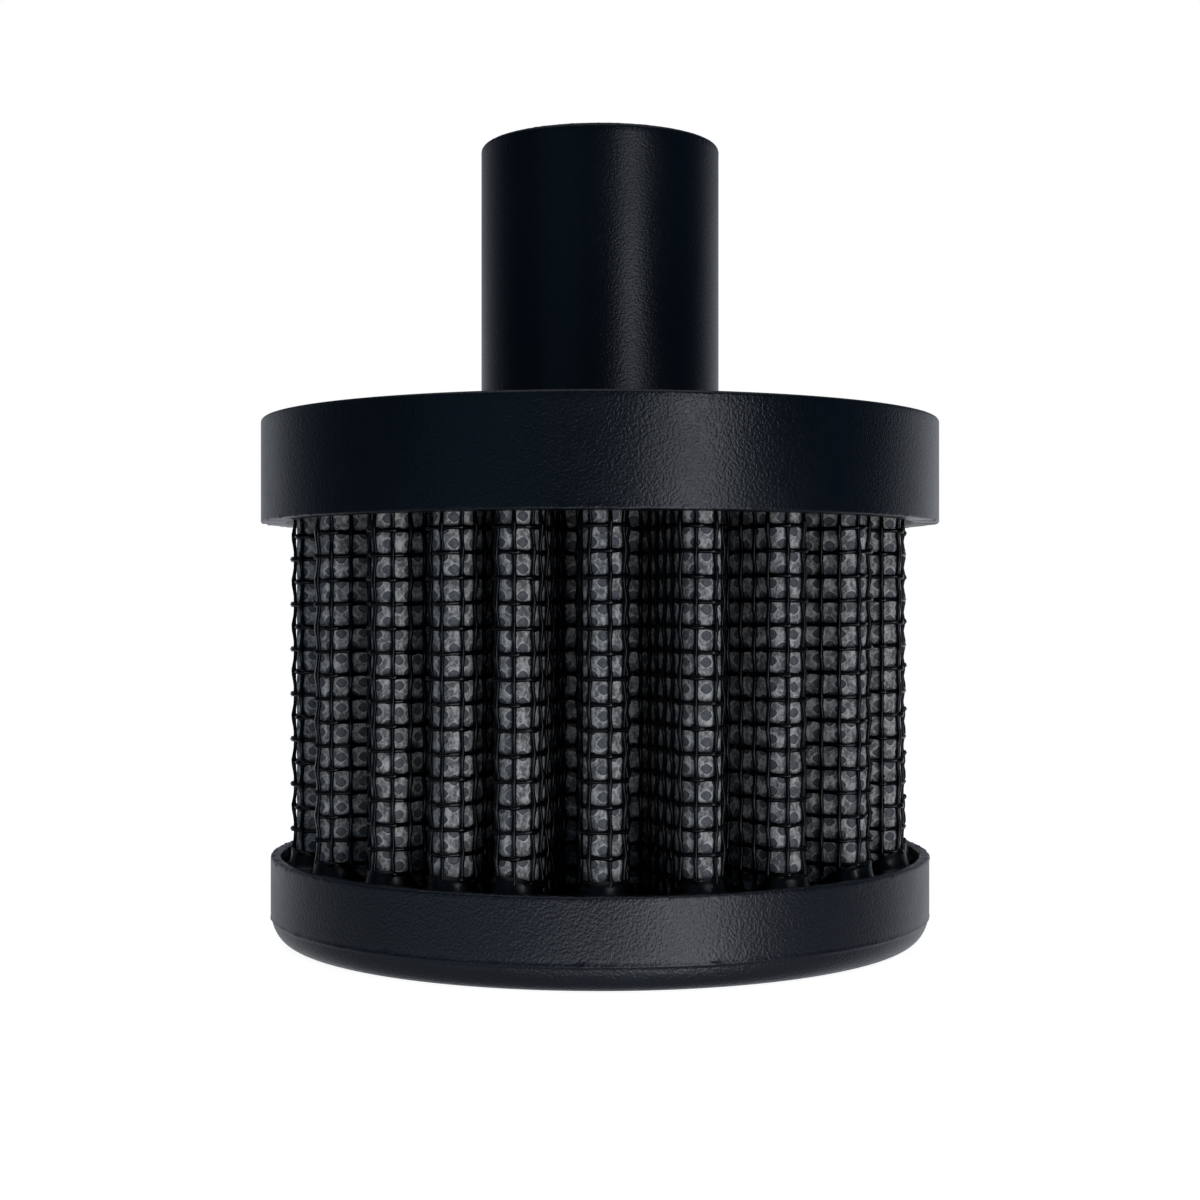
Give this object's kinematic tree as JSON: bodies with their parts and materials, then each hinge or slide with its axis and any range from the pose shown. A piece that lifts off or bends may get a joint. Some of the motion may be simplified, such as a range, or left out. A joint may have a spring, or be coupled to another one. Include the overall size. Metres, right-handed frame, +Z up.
{
  "type": "pneumatic muffler",
  "caption": "Slip-on pneumatic exhaust muffler: a pleated wire-clad silencing pack between a moulded cap with a plain clamp-on neck and a shallow moulded base cup.",
  "frame": {"origin": "middle of the base cup's underside", "axes": "+Z up along the axis to the neck's mouth, -Y is the front, the pack's seam is at the back"},
  "size_m": [0.05, 0.05, 0.0584],
  "materials": {
    "cap_moulding": "satin black moulded polyurethane with a fine pebble texture",
    "coated_wire": "glossy black epoxy coating on woven steel wire",
    "scrim_cloth": "point-bonded non-woven cloth, grey",
    "felt": "off-white needled fibre felt",
    "plated_steel": "zinc-plated sheet steel",
    "potting": "matt black cast potting compound"
  },
  "bodies": {
    "root": {"neck_cap": "cap_moulding", "neck_plate": "plated_steel", "neck_potting": "potting", "outer_screen": "coated_wire", "outer_scrim": "scrim_cloth", "media_felt": "felt", "inner_scrim": "scrim_cloth", "inner_screen": "coated_wire", "seam_clip": "plated_steel", "core_tube": "plated_steel", "core_disc": "plated_steel", "base_potting": "potting", "base_cap": "cap_moulding"}
  },
  "joints": []
}
